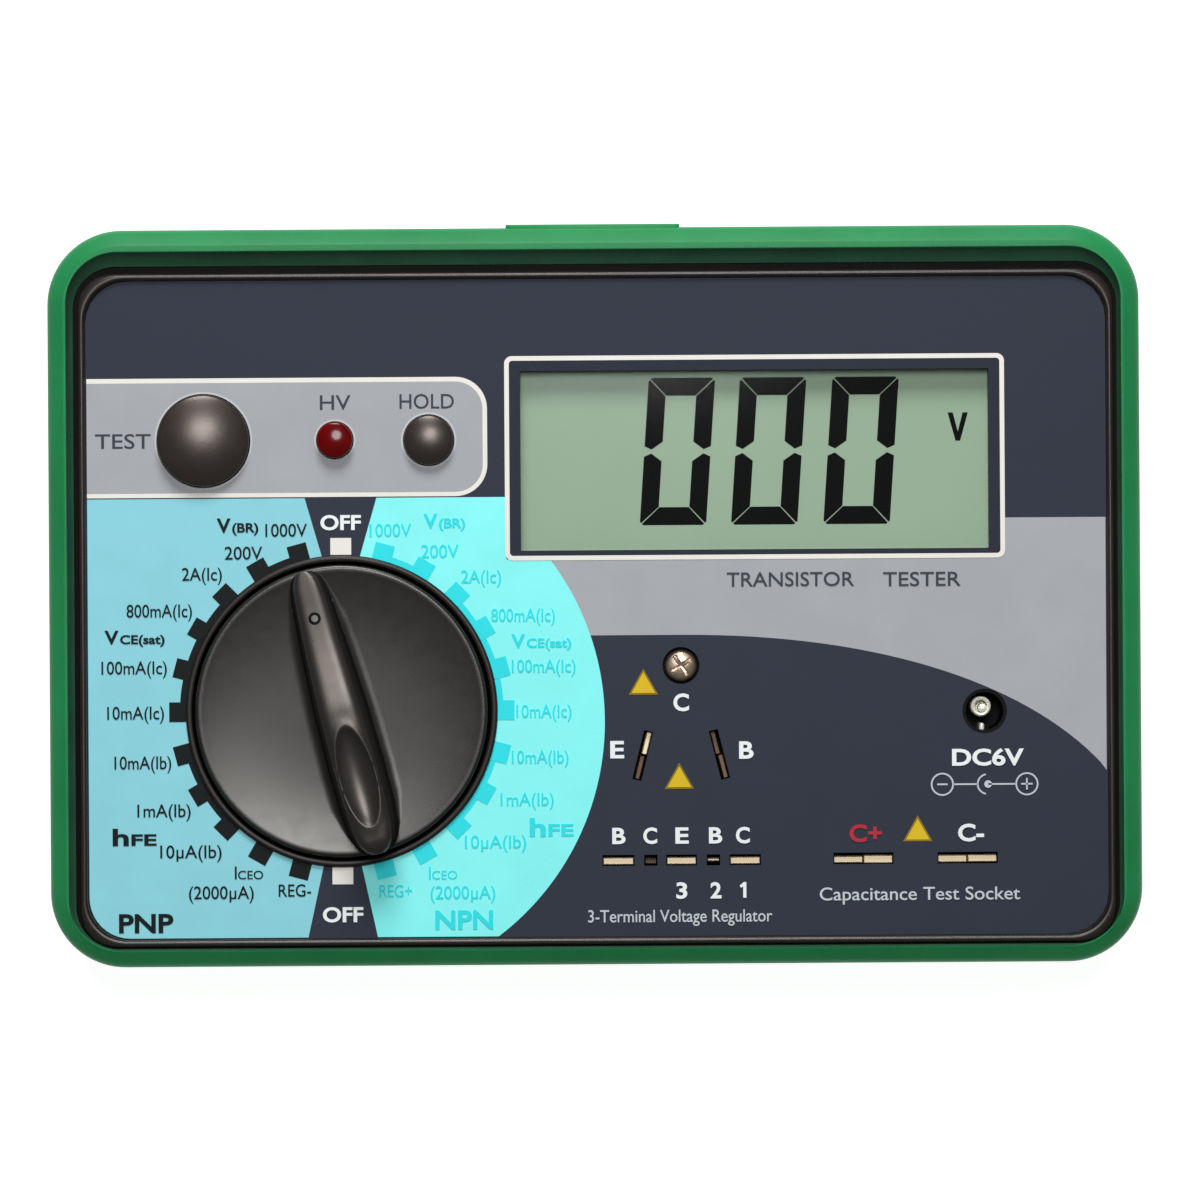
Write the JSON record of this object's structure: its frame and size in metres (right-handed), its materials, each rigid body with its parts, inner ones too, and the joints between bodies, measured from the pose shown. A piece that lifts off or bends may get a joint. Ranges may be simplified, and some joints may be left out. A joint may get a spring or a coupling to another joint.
{
  "type": "component tester",
  "caption": "Landscape bench tester in a rimmed jacket, with a display, two push buttons, a rotary selector, a lamp, a power socket and slotted component test sockets.",
  "frame": {"origin": "centre of the bounding box in plan, on the plane of the rubber feet", "axes": "+X to the right of the panel, +Y to the panel's top edge, +Z out of the panel"},
  "size_m": [0.1884, 0.1278, 0.05],
  "materials": {
    "jacket_green": "satin",
    "case_black": "semi-gloss",
    "panel_print": "printed, satin",
    "clear_pane": "clear gloss",
    "display_glass": "reflective grey-green",
    "ivory_plastic": "moulded",
    "dark_plastic": "satin",
    "socket_black": "moulded",
    "contact_brass": "plated",
    "bright_steel": "plated",
    "circuit_board": "solder resist",
    "lamp_red": "clear red, gloss",
    "foot_rubber": "matte",
    "strip_rubber": "matte",
    "cell_wrap": "printed wrap over steel can",
    "component_black": "moulded",
    "winding": "taped"
  },
  "bodies": {
    "tester_body": {"holster": "jacket_green", "front_case": "case_black", "rear_case": "case_black", "panel_overlay": "panel_print", "lcd_window": "clear_pane", "lcd_glass": "display_glass", "lcd_holder": "ivory_plastic", "transistor_socket": "socket_black", "row_socket": "socket_black", "capacitor_socket": "socket_black", "power_jack": "socket_black", "emitter_contact": "contact_brass", "base_contact": "contact_brass", "capacitor_contact_plus": "contact_brass", "capacitor_contact_minus": "contact_brass", "power_jack_spring": "contact_brass", "row_contact_1": "contact_brass", "row_contact_2": "contact_brass", "row_contact_3": "contact_brass", "row_contact_4": "contact_brass", "row_contact_5": "contact_brass", "collector_screw": "bright_steel", "test_spring": "bright_steel", "hold_spring": "bright_steel", "battery_link": "bright_steel", "battery_contact_positive": "bright_steel", "battery_contact_negative": "bright_steel", "power_jack_pin": "bright_steel", "case_screw_1": "bright_steel", "case_screw_2": "bright_steel", "case_screw_3": "bright_steel", "case_screw_4": "bright_steel", "main_board": "circuit_board", "test_lamp": "lamp_red", "rubber_foot_1": "foot_rubber", "rubber_foot_2": "foot_rubber", "rubber_foot_3": "foot_rubber", "rubber_foot_4": "foot_rubber", "lcd_rubber_strip": "strip_rubber", "battery_1": "cell_wrap", "battery_2": "cell_wrap", "battery_3": "cell_wrap", "battery_4": "cell_wrap", "test_switch": "component_black", "hold_switch": "component_black", "controller_chip": "component_black", "pulse_transformer": "winding"},
    "selector": {"selector_knob": "dark_plastic", "selector_rotor": "ivory_plastic", "rotor_screw": "bright_steel", "rotor_contact": "contact_brass", "detent_ball_1": "bright_steel", "detent_ball_2": "bright_steel", "detent_spring_1": "bright_steel", "detent_spring_2": "bright_steel"},
    "test_button": {"test_button": "dark_plastic"},
    "hold_button": {"hold_button": "dark_plastic"},
    "stand": {"tilt_stand": "case_black"},
    "cover": {"battery_cover": "case_black", "battery_cover_screw": "bright_steel"}
  },
  "joints": [
    {"name": "selector_turn", "type": "hinge", "parent": "tester_body", "child": "selector", "pos_m": [-0.0438, -0.0199, 0.0425], "axis": [0, 0, 1], "continuous": true},
    {"name": "test_press", "type": "slide", "parent": "tester_body", "child": "test_button", "axis": [0, 0, -1], "range_m": [0, 0.0012], "stiffness_N_per_m": 1500, "springref_m": -0.0006, "deforming": ["test_spring"]},
    {"name": "hold_press", "type": "slide", "parent": "tester_body", "child": "hold_button", "axis": [0, 0, -1], "range_m": [0, 0.0012], "stiffness_N_per_m": 1200, "springref_m": -0.0006, "deforming": ["hold_spring"]},
    {"name": "stand_hinge", "type": "hinge", "parent": "tester_body", "child": "stand", "pos_m": [0, 0.0441, 0.0034], "axis": [1, 0, 0], "range_deg": [0, 60]},
    {"name": "cover_removal", "type": "slide", "parent": "tester_body", "child": "cover", "axis": [0, 0, -1], "range_m": [0, 0.02]}
  ]
}
